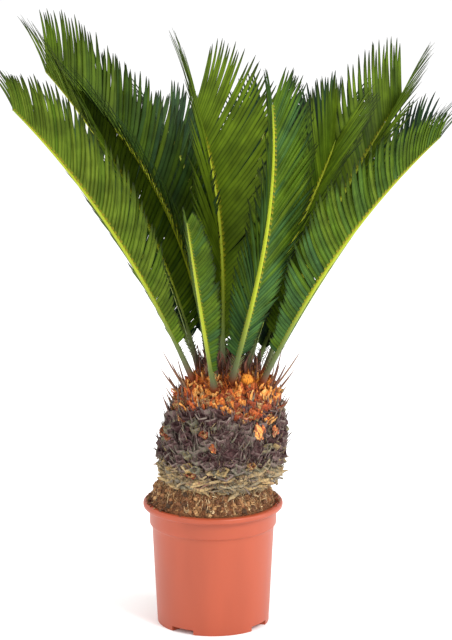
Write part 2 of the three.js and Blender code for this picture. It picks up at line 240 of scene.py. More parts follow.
class Sheaf:
    """Gathers many small closed skins into one mesh, in millimetres, with a finish for each face.

    Each point carries along, its share of the way from the skin's foot to its tip, tone, which
    deals out the base colours, and edge, 1 on an edge: paler wear on dead matter, painted shade
    on the rolled margins of a leaflet."""

    def __init__(self):
        self.points, self.faces, self.finishes, self.count = [], [], [], 0
        self.values = {"along": [], "tone": [], "edge": []}

    def skin(self, rings, finishes=0, along=None, tone=0.5, edge=0.0):
        """Closes a skin over rings of points, shaped (steps, around, 3), right-handed about their way.

        Finishes is one slot or one for each face round a ring; the rest are values for the points."""
        rings = np.asarray(rings, float)
        steps, around = rings.shape[:2]
        start, self.count = self.count, self.count + steps * around
        self.points.append(rings.reshape(-1, 3))
        along = np.linspace(0, 1, steps) if along is None else along
        for key, value in (("along", along), ("tone", tone), ("edge", edge)):
            value = np.asarray(value, float)
            value = value[:, None] if value.ndim == 1 else value
            self.values[key].append(np.broadcast_to(value, (steps, around)).ravel())
        finish = [finishes] * around if np.isscalar(finishes) else list(finishes)
        for i in range(steps - 1):
            low, high = start + i * around, start + (i + 1) * around
            for j in range(around):
                k = (j + 1) % around
                self.faces.append((low + j, low + k, high + k, high + j))
            self.finishes += finish
        last = start + (steps - 1) * around
        self.faces.append(tuple(range(start + around - 1, start - 1, -1)))
        self.faces.append(tuple(range(last, last + around)))
        self.finishes += [finish[0]] * 2

    def strand(self, path, radii, sides=5, flat=1.0, **values):
        """A closed tube along a path, pressed flat by a share."""
        path = np.asarray(path, float)
        ahead = unit(np.gradient(path, axis=0))
        helper = np.array([0.3, 0.1, 1.0]) if abs(ahead[0, 2]) < 0.9 else np.array([1.0, 0.2, 0.1])
        side = unit(np.cross(helper, ahead))
        over = np.cross(ahead, side) * flat
        turn = np.linspace(0, TAU, sides, endpoint=False)
        ring = np.cos(turn)[None, :, None] * side[:, None] + np.sin(turn)[None, :, None] * over[:, None]
        self.skin(path[:, None] + ring * np.asarray(radii, float).reshape(-1, 1, 1), **values)

    def piece(self, name, materials, slot, stands_for=(), sharp=40):
        """Makes the object in metres and puts it on the plant."""
        mesh = bpy.data.meshes.new(name)
        mesh.from_pydata((np.concatenate(self.points) * MM).tolist(), [], self.faces)
        for made in materials:
            mesh.materials.append(made)
        mesh.polygons.foreach_set("material_index", self.finishes)
        for key, parts in self.values.items():
            mesh.attributes.new(key, "FLOAT", "POINT").data.foreach_set("value", np.concatenate(parts))
        mesh.shade_smooth()
        if sharp:
            mesh.set_sharp_from_angle(angle=math.radians(sharp))
        made = put(name, mesh)
        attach(made, BODY)
        if stands_for:
            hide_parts(*stands_for)
        return made


def new_material(name, *attributes):
    """An empty material, its node tree, the place on the plant, and the values that the mesh carries."""
    made = bpy.data.materials.new(name)
    made.use_nodes = True
    tree = made.node_tree
    carried = [node(tree, "Attribute", "Fac", attribute_name=key) for key in attributes]
    return made, tree, node(tree, "TexCoord", "Object"), *carried


def dyed(tree, colour, dye, value, ends, shares):
    """A colour mixed toward a dye, by a share that runs with a value between two ends."""
    share = node(tree, "MapRange", "Result", {
        "Value": value, "From Min": ends[0], "From Max": ends[1], "To Min": shares[0], "To Max": shares[1],
    })
    return node(tree, "Mix", 2, {0: share, 6: colour, 7: linear(dye)}, data_type="RGBA")


def finished(made, colour, relief, roughness, ior, specular=0.5):
    """The material with its colour, gloss and relief, which is a height, its depth in metres and a strength."""
    tree = made.node_tree
    bump = node(tree, "Bump", "Normal", dict(zip(("Height", "Distance", "Strength"), relief)))
    feed(tree, tree.nodes["Principled BSDF"], {
        "Base Color": colour, "Roughness": roughness, "IOR": ior, "Specular IOR Level": specular, "Normal": bump,
    })
    return made


# ---- user sizes and colours


def colour_property(name, description, value):
    return bpy.props.FloatVectorProperty(
        name=name, description=description, subtype="COLOR", size=4, min=0, max=1, default=linear(value)
    )


def length_property(name, description, millimetres):
    return bpy.props.FloatProperty(name=name, description=description, unit="LENGTH", default=millimetres * MM)


class PotSettings(bpy.types.PropertyGroup):
    """Sizes and colours of the pot and its potting mix."""

    rim: length_property("Rim radius", "Outside of the rolled rim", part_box("pot")[1].x / MM)
    height: length_property("Height", "From the floor to the top of the rim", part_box("pot")[1].z / MM)
    plastic: colour_property("Plastic", "Colour of the moulded plastic", "#AA4A2C")
    mix: colour_property("Potting mix", "Middle colour of the moist coir", "#6C4125")


class TrunkSettings(bpy.types.PropertyGroup):
    """Sizes and colours of the trunk."""

    scale: length_property("Leaf base", "Width of one old leaf base", 19)
    dark: colour_property("Old leaf bases", "Colour of the weathered leaf bases", "#583A3A")
    wool: colour_property("Wool", "Colour of the young wool round the leaf stalks", "#BE5A26")


class FrondSettings(bpy.types.PropertyGroup):
    """Sizes and colours of the fronds."""

    pitch: length_property("Leaflet pitch", "Mean distance between leaflets along the rib", 6.3)
    width: length_property("Leaflet width", "Width of the widest leaflets", 6.8)
    # The old colour is dark enough to paint shade as well as age on the fronds with the lowest tones.
    old: colour_property("Old leaf", "Upper side of the oldest leaves", "#14291A")
    young: colour_property("Young leaf", "Upper side of the freshest leaves", "#5C7214")
    rib: colour_property("Rib", "Colour of the rib between the leaflets", "#9CA820")


class StageSettings(bpy.types.PropertyGroup):
    """Floor and light."""

    floor: colour_property("Floor", "Colour of the paper floor", "#FFFFFF")
    key: bpy.props.FloatProperty(name="Key light", description="Power of the main softbox", default=85, unit="POWER")


# ---- materials


def leaf_cuticle(name, old, bloom, middle, young, foot, roughness, streak):
    """Leather-like leaf skin under a waxy cuticle: a satin gloss broken by fine lengthwise veins."""
    made, tree, place, tone, along, edge = new_material(name, "tone", "along", "edge")
    colour = node(tree, "ValToRGB", "Color", {"Fac": tone}, [(0.0, old), (0.25, bloom), (0.5, middle), (1.0, young)])
    # Clouds about 30 mm across, as no two parts of a frond weather alike.
    cloud = node(tree, "TexNoise", "Fac", {"Vector": place, "Scale": 33.0, "Detail": 2.0})
    shade = node(tree, "ValToRGB", "Color", {"Fac": cloud}, [(0.35, "#C8C8C8"), (0.65, "#FFFFFF")])
    # The rolled edges lie in shade and the middle of the blade catches the light.
    rolled = node(tree, "ValToRGB", "Color", {"Fac": edge}, [
        (0.0, (1.12, 1.12, 1.05, 1)), (0.5, (1.0, 1.0, 1.0, 1)), (0.8, (0.8, 0.83, 0.8, 1)),
        (1.0, (0.36, 0.4, 0.38, 1)),
    ])
    for layer in (shade, rolled):
        colour = node(tree, "Mix", 2, {0: 1.0, 6: colour, 7: layer}, data_type="RGBA", blend_type="MULTIPLY")
    # The sharp tip dries darker; the narrow foot is straw and orange where it meets the rib.
    colour = dyed(tree, colour, "#171F0C", along, (0.75, 1.0), (0.0, 1.0))
    colour = dyed(tree, colour, foot, along, (0.01, 0.04), (1.0, 0.0))
    # Veins are 0.4 mm apart, too fine to show, so the streaks are drawn 1 mm apart.
    veins = node(tree, "TexNoise", "Fac", {"Vector": place, "Scale": 1000.0, "Detail": 2.0})
    return finished(made, colour, (veins, 0.0002, streak), roughness, 1.45, 0.08)


def rib_wood(rib):
    """Smooth living stalk: waxy yellow-green rib, grey-green foot, and red-brown wool where it leaves the trunk."""
    made, tree, place, tone, along = new_material("rib_waxy_stalk", "tone", "along")
    colour = node(tree, "ValToRGB", "Color", {"Fac": along}, [
        (0.0, "#4A1C10"), (0.02, "#70361C"), (0.045, "#5A4C38"), (0.08, "#58603E"), (0.15, "#5E6E2E"),
        (0.36, rib), (0.92, rib), (1.0, "#6F8A20"),
    ])
    # An old rib is a duller green; a low tone given as painted shade dulls a rib's green the same way.
    colour = dyed(tree, colour, "#4A6426", tone, (0.0, 0.4), (0.65, 0.0))
    # Scurfy flecks of old wool, 1 to 2 mm.
    fleck = node(tree, "TexNoise", "Fac", {"Vector": place, "Scale": 650.0, "Detail": 4.0})
    colour = dyed(tree, colour, "#5E4A22", fleck, (0.58, 0.72), (0.0, 0.45))
    return finished(made, colour, (fleck, 0.0003, 0.3), 0.45, 1.45, 0.25)


def dry_fibre(name, stops, pale, grain, roughness=0.85, relief=0.0012):
    """Dead woolly plant matter: base colours dealt out by tone, painted shade between its fibres
    and pale on worn edges.

    Grain is how many fibres lie across a metre, and relief is how deep they are in metres."""
    made, tree, place, tone, edge = new_material(name, "tone", "edge")
    # Blotches a few millimetres wide shift the dealt colour, so that no scale is one colour.
    blotch = node(tree, "TexNoise", "Fac", {"Vector": place, "Scale": 240.0, "Detail": 4.0, "Roughness": 0.7})
    shift = node(tree, "MapRange", "Result", {
        "Value": blotch, "From Min": 0.3, "From Max": 0.7, "To Min": -0.12, "To Max": 0.12,
    })
    dealt = node(tree, "Math", 0, {0: tone, 1: shift}, operation="ADD")
    colour = node(tree, "ValToRGB", "Color", {"Fac": dealt}, stops)
    # Fibres run upward and lie 1.4 to 2.4 mm apart, coarser than the real ones, which are too fine to show.
    stretched = node(tree, "Mapping", "Vector", {"Vector": place, "Scale": (1.0, 1.0, 0.35)})
    fibre = node(tree, "TexNoise", "Fac", {"Vector": stretched, "Scale": grain, "Detail": 5.0, "Roughness": 0.7})
    # Painted shade: the gaps between the fibres are darkened toward near black, as if shadowed.
    colour = dyed(tree, colour, "#120A08", fibre, (0.34, 0.52), (0.75, 0.0))
    worn = node(tree, "Math", 0, {0: edge, 1: fibre}, operation="MULTIPLY")
    colour = node(tree, "Mix", 2, {0: worn, 6: colour, 7: linear(pale)}, data_type="RGBA")
    return finished(made, colour, (fibre, relief, 0.9), roughness, 1.4)


def moulded_polypropylene(colour):
    """Injection-moulded polypropylene: an even satin skin with faint flow clouds and a fine orange-peel surface."""
    made, tree, place = new_material("pot_moulded_polypropylene")
    tall = node(tree, "Mapping", "Vector", {"Vector": place, "Scale": (1.0, 1.0, 0.2)})
    flow = node(tree, "TexNoise", "Fac", {"Vector": tall, "Scale": 22.0, "Detail": 3.0})
    darker = (*(c * 0.86 for c in colour[:3]), 1.0)
    clouds = node(tree, "ValToRGB", "Color", {"Fac": flow}, [(0.3, darker), (0.7, tuple(colour))])
    peel = node(tree, "TexNoise", "Fac", {"Vector": place, "Scale": 900.0, "Detail": 2.0})
    return finished(made, clouds, (peel, 0.0001, 0.25), 0.4, 1.49)


def moist_coir(colour):
    """Moist coir and bark mix: matt, lumpy at 4 mm, with darker pits and paler crumbs at 1 mm."""
    made, tree, place = new_material("soil_moist_coir")
    lumps = node(tree, "TexNoise", "Fac", {"Vector": place, "Scale": 260.0, "Detail": 6.0, "Roughness": 0.7})
    base = node(tree, "ValToRGB", "Color", {"Fac": lumps}, [(0.32, "#2C170D"), (0.5, tuple(colour)), (0.68, "#9C6840")])
    fine = node(tree, "TexNoise", "Fac", {"Vector": place, "Scale": 950.0, "Detail": 4.0, "Roughness": 0.7})
    base = dyed(tree, base, "#B08458", fine, (0.56, 0.74), (0.0, 0.6))
    return finished(made, base, (fine, 0.0015, 0.9), 0.95, 1.4)


def uncoated_paper(colour):
    """Uncoated paper: matt, with a tooth drawn 3 mm coarse, as the real one is too fine to show."""
    made, tree, place = new_material("floor_matt_paper")
    tooth = node(tree, "TexNoise", "Fac", {"Vector": place, "Scale": 300.0})
    return finished(made, colour, (tooth, 0.0002, 0.1), 0.9, 1.5)


# ---- fronds


def frond(name):
    return Sizes(**{**USUAL, **FRONDS[name]})


def rib_frames(row, samples=121):
    """Shares along a rib, and there its points and three directions: ahead, out of the upper face, to the left."""
    s = np.linspace(0, 1, samples)
    lean = np.radians(row.lean[0] + (row.lean[1] - row.lean[0]) * s**BEND_POWER)[:, None]
    azimuth = np.radians(row.azimuth + row.sweep * s)
    roll = np.radians(row.roll[0] + (row.roll[1] - row.roll[0]) * s)[:, None]
    outward = np.stack([np.cos(azimuth), np.sin(azimuth), 0 * s], -1)
    sideways = np.stack([-np.sin(azimuth), np.cos(azimuth), 0 * s], -1)
    ahead = np.sin(lean) * outward + np.cos(lean) * UP
    inward = -np.cos(lean) * outward + np.sin(lean) * UP
    face = np.cos(roll) * inward + np.sin(roll) * sideways
    side = np.cos(roll) * sideways - np.sin(roll) * inward
    root, reach = math.radians(row.root), row.root_radius
    drop = CROWN.dome_drop * (reach / CROWN.dome_radius) ** 2
    foot = np.array([CROWN.centre_x + reach * math.cos(root), reach * math.sin(root), CROWN.dome_top - drop])
    step = row.length / (samples - 1)
    points = foot + np.concatenate([np.zeros((1, 3)), np.cumsum((ahead[1:] + ahead[:-1]) / 2 * step, 0)])
    return s, points, ahead, face, side


def read_at(shares, s, *fields):
    """Reads fields of points or directions along a rib at the given shares."""
    return [np.stack([np.interp(shares, s, f[:, k]) for k in range(3)], -1) for f in fields]


# A rib's foot runs on into the wool. Its half sizes are given at shares of its length.
RIB_ROOTED = 8
RIB_SHARES = [0, 0.03, 0.08, 0.13, 0.3, 0.6, 1]
RIB_HALF_WIDTHS = [6.6, 4.9, 3.9, 3.4, 3.0, 2.4, 1.0]
RIB_HALF_DEPTHS = [5.2, 4.4, 3.8, 3.3, 3.0, 2.4, 1.1]

# A leaflet's stations along its length, its width there, and the corners of its section: across it
# in half widths, a dip in half widths, and millimetres out of it. The upper face is a shallow
# channel, and a midrib stands out of the lower one.
STATIONS = np.array([0, 0.05, 0.13, 0.28, 0.5, 0.7, 0.86, 0.95, 1.0])
STATION_WIDTHS = np.array([1.05, 0.94, 1.0, 1.0, 0.96, 0.8, 0.56, 0.32, 0.06])
THICK, MIDRIB = 0.4, 0.45
SECTION = [
    (1, -0.16, -THICK), (1, -0.16, 0), (0, 0, 0), (-1, -0.16, 0), (-1, -0.16, -THICK), (-0.2, -0.02, -THICK),
    (0, 0, -THICK - MIDRIB), (0.2, -0.02, -THICK),
]
SECTION_FINISHES = [0, 0, 0, 0, 1, 2, 2, 1]  # upper skin, lower skin, midrib
# How near each corner lies to an edge: the leaflet skin paints shade on the margins, at 1, and a highlight on the
# middle, at 0.
SECTION_EDGES = [1, 1, 0, 1, 1, 0.1, 0, 0.1]
# How far a leaflet is turned about its line, in degrees, and its bends as shares of its length.
BLADE = Sizes(slat=12, sickle=0.12, droop=0.03, arch=0.05)
# How the two wings' leaflets are staggered, how they crowd at both ends, and how long they are at the
# foot, where they reach their full length and where they shorten again.
WING = Sizes(stagger=0.22, crowd=0.035, foot_share=0.2, full_at=0.45, shrink_at=0.72)


def leaflet_rings(row, hand, rng, pitch, width):
    """The leaflets of one wing, hand 1 for the left one and -1 for the right, with a tone for each."""
    s, points, ahead, face, side = rib_frames(row)
    count = int((1 - STALK_SHARE) * row.length / pitch)
    u = np.clip((np.arange(count) + 0.5 + WING.stagger * hand + rng.normal(0, 0.08, count)) / count, 0, 1)
    u = u - WING.crowd * np.sin(TAU * u)
    share = STALK_SHARE + (1 - STALK_SHARE) * u
    p, t, n, b = read_at(share, s, points, ahead, face, side)
    low, middle, tip = row.angle
    angle = np.interp(u, [0, 0.35, 0.8, 1], [low, middle + 4, middle - 4, tip]) + rng.normal(0, 0.8, count)
    folds = np.broadcast_to(row.keels[0 if hand > 0 else 1], 3)
    keel = np.interp(u, [0, 0.4, 1], folds) + rng.normal(0, 1.2, count)
    growth = WING.foot_share + (1 - WING.foot_share) * smooth(u / WING.full_at)
    shrink = np.clip((u - WING.shrink_at) / (1 - WING.shrink_at), 0, 1) ** 2
    length = row.leaflet * growth * (1 - (1 - row.tip_share) * shrink)
    length *= 1 + np.clip(rng.normal(-0.02, 0.05, count), -0.15, 0.03)
    a, v = np.radians(angle)[:, None], np.radians(keel)[:, None]
    wing = hand * np.cos(v) * b + np.sin(v) * n
    out = -hand * np.sin(v) * b + np.cos(v) * n
    way = np.cos(a) * t + np.sin(a) * wing
    inward = np.sin(a) * t - np.cos(a) * wing
    across = -hand * inward
    # Each blade is turned about its own line, so that the leaflets lap like slats.
    turn = np.radians(-hand * BLADE.slat + rng.normal(0, 3, count))[:, None]
    across, out = np.cos(turn) * across + np.sin(turn) * out, np.cos(turn) * out - np.sin(turn) * across
    rib_width = np.interp(share, RIB_SHARES, RIB_HALF_WIDTHS)[:, None]
    rib_depth = np.interp(share, RIB_SHARES, RIB_HALF_DEPTHS)[:, None]
    # A wing that is folded up starts on top of the rib, a flat one at its side.
    base = p + hand * 0.8 * rib_width * np.cos(v) * b + (0.5 * np.sin(v) ** 2 - 0.2) * rib_depth * n
    ell = length[:, None, None]
    h = STATIONS[None, :, None]
    sickle = (BLADE.sickle + rng.normal(0, 0.02, count))[:, None, None]
    droop = (BLADE.droop + rng.normal(0, 0.015, count))[:, None, None]
    bow = sickle * (h * h - h) * inward[:, None] + (BLADE.arch * (h - h * h) - droop * h**3) * out[:, None]
    line = base[:, None] + ell * (h * way[:, None] + bow)
    half = 0.5 * width * (0.75 + 0.25 * length / row.leaflet) * (1 - 0.3 * smooth((u - 0.6) / 0.4))
    w = (half[:, None] * STATION_WIDTHS)[:, :, None]
    taper = np.interp(STATIONS, [0, 0.86, 1], [1, 0.9, 0.35])[None, :, None]
    rings = np.stack(
        [line + x * w * across[:, None] + (dip * w + rise * taper) * out[:, None] for x, dip, rise in SECTION], 2
    )
    # The lowest leaflets of a frond are the oldest and carry a grey bloom.
    tone = row.tone - 0.2 * (1 - smooth(u / 0.5)) + rng.normal(0, 0.12, count)
    return rings, np.clip(tone, 0, 1)


def build_leaflets(settings):
    rng = np.random.default_rng(5)
    old, young = tuple(settings.old), tuple(settings.young)
    finishes = [
        leaf_cuticle("leaflet_upper_cuticle", old, "#2E4A24", "#3A520E", young, "#8E8A20", 0.5, 0.25),
        leaf_cuticle("leaflet_lower_cuticle", "#1C3416", "#3A5A2C", "#46600F", "#627620", "#847C20", 0.6, 0.4),
        leaf_cuticle("leaflet_midrib", "#22401C", "#436432", "#50691A", "#6A7C26", "#84702A", 0.55, 0.2),
    ]
    edges = np.broadcast_to(SECTION_EDGES, (len(STATIONS), len(SECTION)))
    for name, rows in LEAFLET_PIECES.items():
        sheaf = Sheaf()
        for row in rows:
            for hand in (1, -1):
                rings, tones = leaflet_rings(frond(row), hand, rng, settings.pitch / MM, settings.width / MM)
                for ring, tone in zip(rings, tones):
                    sheaf.skin(ring, SECTION_FINISHES, STATIONS, tone, edges)
        sheaf.piece(name, finishes, "frond_leaf", [f"frond_{row}" for row in rows])


def build_ribs(settings):
    """Stalks and ribs, flatter above than below, with short thorns where the leaflets give out."""
    rng = np.random.default_rng(7)
    sheaf = Sheaf()
    turn = np.linspace(0, TAU, 12, endpoint=False)
    share = np.concatenate([[0, 0.015, 0.03, 0.05, 0.08, 0.11], np.linspace(0.15, 1, 20)])
    for name in FRONDS:
        row = frond(name)
        s, points, ahead, face, side = rib_frames(row)
        p, t, n, b = read_at(share, s, points, ahead, face, side)
        p[0] -= RIB_ROOTED * t[0]
        x = np.interp(share, RIB_SHARES, RIB_HALF_WIDTHS)[:, None] * np.cos(turn)
        z = np.interp(share, RIB_SHARES, RIB_HALF_DEPTHS)[:, None] * np.sin(turn)
        z = np.where(z > 0, z * 0.9, z)
        rings = p[:, None] + x[:, :, None] * b[:, None] + z[:, :, None] * n[:, None]
        sheaf.skin(facing_out(rings), 0, share, row.tone)
        for hand in (1, -1):
            for k in range(GROWN.rib_thorns):
                spot = 0.04 + 0.011 * k + rng.uniform(-0.003, 0.003)
                p1, t1, n1, b1 = (f[0] for f in read_at(np.array([spot]), s, points, ahead, face, side))
                way = unit(0.8 * t1 + hand * 0.9 * b1 + 0.3 * n1)
                start = p1 + hand * b1 * np.interp(spot, RIB_SHARES, RIB_HALF_WIDTHS) * 0.85
                reach = 3 + 0.8 * k + rng.uniform(0, 2)
                path = [start, start + way * reach * 0.55, start + way * reach]
                sheaf.strand(path, [0.8, 0.5, 0.1], 4, along=0.1, tone=0.5)
    sheaf.piece("frond_ribs", [rib_wood(tuple(settings.rib))], "frond_leaf", sharp=50)


# ---- trunk


def trunk_profile():
    """The trunk's outline sampled along its length, with the outward way there."""
    outline = np.array(TRUNK_OUTLINE, float)
    steps = np.concatenate([[0], np.cumsum(np.linalg.norm(np.diff(outline, axis=0), axis=1))])
    q = np.linspace(0, steps[-1], 160)
    r, z = np.interp(q, steps, outline[:, 0]), np.interp(q, steps, outline[:, 1])
    dr, dz = np.gradient(r), np.gradient(z)
    size = np.hypot(dr, dz)
    return q, r, z, dz / size, -dr / size


TRUNK_PROFILE = trunk_profile()
TRUNK_END = TRUNK_PROFILE[0][-1]


def level_of(q):
    return float(np.interp(q, TRUNK_PROFILE[0], TRUNK_PROFILE[2]))


def length_at(level):
    """How far up the trunk's skin a level below the dome lies."""
    return float(np.interp(level, TRUNK_PROFILE[2], TRUNK_PROFILE[0]))


def trunk_spot(turn, q, off=0.0):
    """A point off the trunk's skin and the ways out of it, up it and round it."""
    r, z, nr, nz = (float(np.interp(q, TRUNK_PROFILE[0], f)) for f in TRUNK_PROFILE[1:])
    away = np.array([*polar(1, turn), 0.0])
    around = np.array([-away[1], away[0], 0.0])
    out = unit(nr * away + nz * UP)
    up = np.cross(out, around)
    centre = np.array([TRUNK.foot_offset + TRUNK.lean_slope * (z - TRUNK.foot_level), 0, z])
    return centre + r * away + off * out, out, up, around


def anywhere(rng, low, high, deep, shallow):
    """A spot at any turn, between two levels and two depths off the skin, with its ways."""
    return trunk_spot(rng.uniform(0, TAU), length_at(rng.uniform(low, high)), rng.uniform(deep, shallow))


def leaf_base(sheaf, spot_ways, size, lean, rng, tone, edge, rim=0.7):
    """An old leaf base: a rhombic stub that points out and up, broken off blunt, with a hollow end.

    Size is its width, its height and its length. Edge is how pale its lower rim has worn."""
    spot, out, up, around = spot_ways
    width, tall, length = size
    way = unit(up * math.cos(lean) + out * math.sin(lean) + around * rng.uniform(-0.25, 0.25))
    face = unit(out - way * np.dot(out, way))
    side = np.cross(way, face)
    corners = [(1, 0), (0.5, 0.52), (0, 1), (-0.5, 0.52), (-1, 0), (-0.5, -0.6), (0, -0.85), (0.5, -0.6)]
    rings, worn = [], []
    for share, swell in ((0, 0.85), (0.5, 1.0), (0.85, 1.02), (1.0, 0.92), (0.98, rim), (0.7, rim * 0.7)):
        middle = spot - out * TRUNK.rooted + way * length * share
        jitter = rng.uniform(-0.06, 0.06, (8, 3)) * tall
        wide, deep = side * (width / 2 * swell), face * (tall / 2 * swell)
        rings.append([middle + wide * x + deep * z for x, z in corners] + jitter)
        worn.append([edge * (share == 1.0 and z > -0.1) for _, z in corners])
    sheaf.skin(np.array(rings)[:, ::-1], 0, np.linspace(0, 1, 6), tone, np.array(worn, float)[:, ::-1])


def curl(sheaf, spot, way, face, length, width, bend, rng, tone, edge=0.3, thick=0.7):
    """A thin torn flake or bract that curls out of its plane."""
    side = unit(np.cross(way, face))
    shares = np.array([0, 0.3, 0.6, 0.85, 1.0])
    widths = np.array([0.7, 1.0, 0.85, 0.5, 0.12]) * rng.uniform(0.75, 1.2, 5)
    wander = rng.normal(0, 0.06, 5).cumsum() * length
    rings = []
    for share, w, drift in zip(shares, widths, wander):
        turn = bend * share
        middle = spot + (way * math.cos(turn * 0.6) + face * math.sin(turn * 0.6)) * length * share + side * drift
        lift = (face * math.cos(turn) - way * math.sin(turn)) * thick
        half = side * width / 2 * w
        rings.append([middle + half, middle + lift * 0.8, middle - half, middle - lift * 0.6])
    sheaf.skin(facing_out(np.array(rings)), 0, shares, tone, edge)


def hair(sheaf, spot, way, reach, radius, rng, tone, sway=0.35, edge=0.0):
    """One stiff curved fibre."""
    path = bowed(spot, way, unit(rng.normal(0, 1, 3)) * sway, reach, (0, 0.35, 0.7, 1.0))
    sheaf.strand(path, [radius, radius * 0.85, radius * 0.6, radius * 0.15], 3, tone=tone, edge=edge)


# Bare stubs and torn wounds that stand out on the trunk: turn in degrees, level, width, height, tone.
STUBS = [
    (-83, 256, 21, 13, 0.06), (-58, 257, 19, 13, 0.1), (-64, 238, 10, 9, 0.62), (112, 262, 20, 13, 0.1),
    (20, 250, 19, 12, 0.14),
]
TORN = [
    (-55.2, 283, 13, 21, 0.95), (-33.5, 279, 11, 13, 0.8), (-99.5, 266, 6, 14, 0.83), (140, 280, 12, 16, 0.93),
]


def wool_line(turn):
    """The level where the torn wool begins at a turn."""
    ragged = noise.noise(Vector((*polar(2.2, turn), 0.3)))
    off = math.remainder(turn - math.radians(WOOL.dip_turn), TAU)
    return WOOL.level + WOOL.ragged * ragged - WOOL.dip * math.exp(-((off / WOOL.dip_span) ** 2))


def trunk_core(dead):
    """The rough core under all that grows on it."""
    core, rings = Sheaf(), []
    lengths = np.linspace(0, TRUNK_END - 1, 48)
    for q in lengths:
        ring = []
        for turn in np.linspace(0, TAU, 120, endpoint=False):
            spot, out, _, _ = trunk_spot(turn, q, -TRUNK.core_depth)
            ring.append(spot + out * TRUNK.core_rough * noise.fractal(Vector(spot * 0.16), 1.0, 2.0, 3))
        rings.append(ring)
    core.skin(rings, tone=[[0.1 if level_of(q) < TRUNK.red_core_level else 0.68] for q in lengths])
    core.piece("trunk_core", [dead], "trunk", ["trunk"])


def trunk_leaf_bases(dead, rng, width):
    """Old leaf bases wound up the trunk, clear of its wounds, and its bare stubs."""
    scales, count = Sheaf(), GROWN.leaf_bases
    lowest, highest = map(length_at, LEVELS.leaf_bases)
    marks = [(math.radians(turn), level, wide * 0.75, tall * 0.9) for turn, level, wide, tall, _ in STUBS + TORN]
    for i in range(count):
        q = lowest + (highest - lowest) * (i + 0.5) / count + rng.normal(0, 2.0)
        turn = i * GOLDEN_TURN + rng.normal(0, 0.04)
        level = level_of(q)
        offs = ((abs(math.remainder(turn - a, TAU)) * TRUNK.widest / w, abs(level - z) / h) for a, z, w, h in marks)
        if any(aside < 1 and apart < 1 for aside, apart in offs):
            continue
        if level > wool_line(turn):
            tone = rng.choice([0.08, 0.62, 0.7, 0.78])
        else:
            tone = np.clip(rng.normal(0.33 if level < TRUNK.grey_level else 0.15, 0.1), 0.0, 0.5)
            if rng.random() < 0.04:
                tone = rng.uniform(0.64, 0.67)
        size = rng.uniform((0.8, 10, 9), (1.25, 15, 14)) * (width, 1, 1)
        worn = rng.uniform(0.4, 1.0) if rng.random() < 0.25 else 0.1
        leaf_base(scales, trunk_spot(turn, q), size, rng.uniform(0.5, 1.0), rng, tone, worn)
    for turn, level, wide, tall, tone in STUBS:
        place = trunk_spot(math.radians(turn), length_at(level - 3))
        leaf_base(scales, place, (wide * 1.15, tall * 1.2, 15), 1.05, rng, tone, 0.3, 0.88)
    scales.piece("trunk_leaf_bases", [dead], "trunk", sharp=50)


def trunk_torn_wool(dead, rng):
    """Flakes of wool in the wounds and over the whole shoulder."""
    torn = Sheaf()
    for turn, level, wide, tall, tone in TORN:
        for k in range(GROWN.wound_flakes):
            a = math.radians(turn) + rng.uniform(-0.4, 0.4) * wide / TRUNK.widest
            q = length_at(level + rng.uniform(-0.55, 0.1) * tall)
            spot, out, up, around = trunk_spot(a, q, rng.uniform(0, 2))
            way = unit(up - around * 0.35 + around * rng.normal(0, 0.25))
            bend = rng.uniform(-0.1, 0.3)
            shade = np.clip(tone - 0.2 * (k < 5) + rng.normal(0, 0.03), 0.64, 1)
            curl(torn, spot, way, out, 0.6 * tall, 0.5 * wide, bend, rng, shade, 0.1, 1.5)
    for _ in range(GROWN.torn_wool):
        q, turn = rng.uniform(length_at(LEVELS.torn_wool), TRUNK_END - 4), rng.uniform(0, TAU)
        level = level_of(q)
        if level < wool_line(turn):
            continue
        spot, out, up, around = trunk_spot(turn, q, rng.uniform(-8, -1.5))
        way = unit(up * rng.uniform(0.3, 1.2) + around * rng.normal(0, 0.8) + out * rng.uniform(0, 0.7))
        tone = 0.71 + 0.14 * smooth((level - 298) / 32) + 0.6 * noise.noise(Vector(spot * 0.075))
        tone = np.clip(tone + rng.normal(0, 0.05), 0.62, 0.97)
        curl(torn, spot, way, out, *rng.uniform((6, 4, -0.6), (15, 11, 1.3)), rng, tone, 0.0, 2.2)
    torn.piece("trunk_torn_wool", [dead], "trunk", sharp=45)


def trunk_foot_flakes(dead, rng):
    """Worn ledges that run round the foot like shelves, and small flakes between them."""
    flakes = Sheaf()
    for _ in range(GROWN.ledges):
        long = rng.random() < 0.35
        spot, out, up, around = anywhere(rng, *(LEVELS.long_ledges if long else LEVELS.ledges), -7, -3)
        way = unit(around * rng.choice([-1, 1]) + up * rng.normal(0, 0.3) + out * rng.uniform(0, 0.25))
        face = unit(up + out * rng.uniform(-0.4, 0.8))
        length, width = rng.uniform(18, 36) if long else rng.uniform(7, 18), rng.uniform(6, 10.5)
        bend = rng.uniform(-0.4, 0.5)
        tone = np.clip(rng.normal(0.5 if long else 0.38, 0.1), 0.05, 0.57)
        curl(flakes, spot, way, face, length, width, bend, rng, tone, 0.3, 2.6)
    for _ in range(GROWN.foot_flakes):
        spot, out, up, around = anywhere(rng, *LEVELS.foot_flakes, -5, -1.5)
        way = unit(around * rng.choice([-1, 1]) + up * rng.normal(0, 0.5) + out * rng.uniform(0, 0.6))
        tone = rng.choice([0.05, 0.3, 0.45, 0.55, 0.68], p=[0.2, 0.2, 0.25, 0.25, 0.1]) + rng.normal(0, 0.05)
        curl(flakes, spot, way, out, *rng.uniform((5, 2, -0.5), (14, 4.5, 1.0)), rng, np.clip(tone, 0, 0.7), 0.5)
    flakes.piece("trunk_foot_flakes", [dead], "trunk", sharp=45)


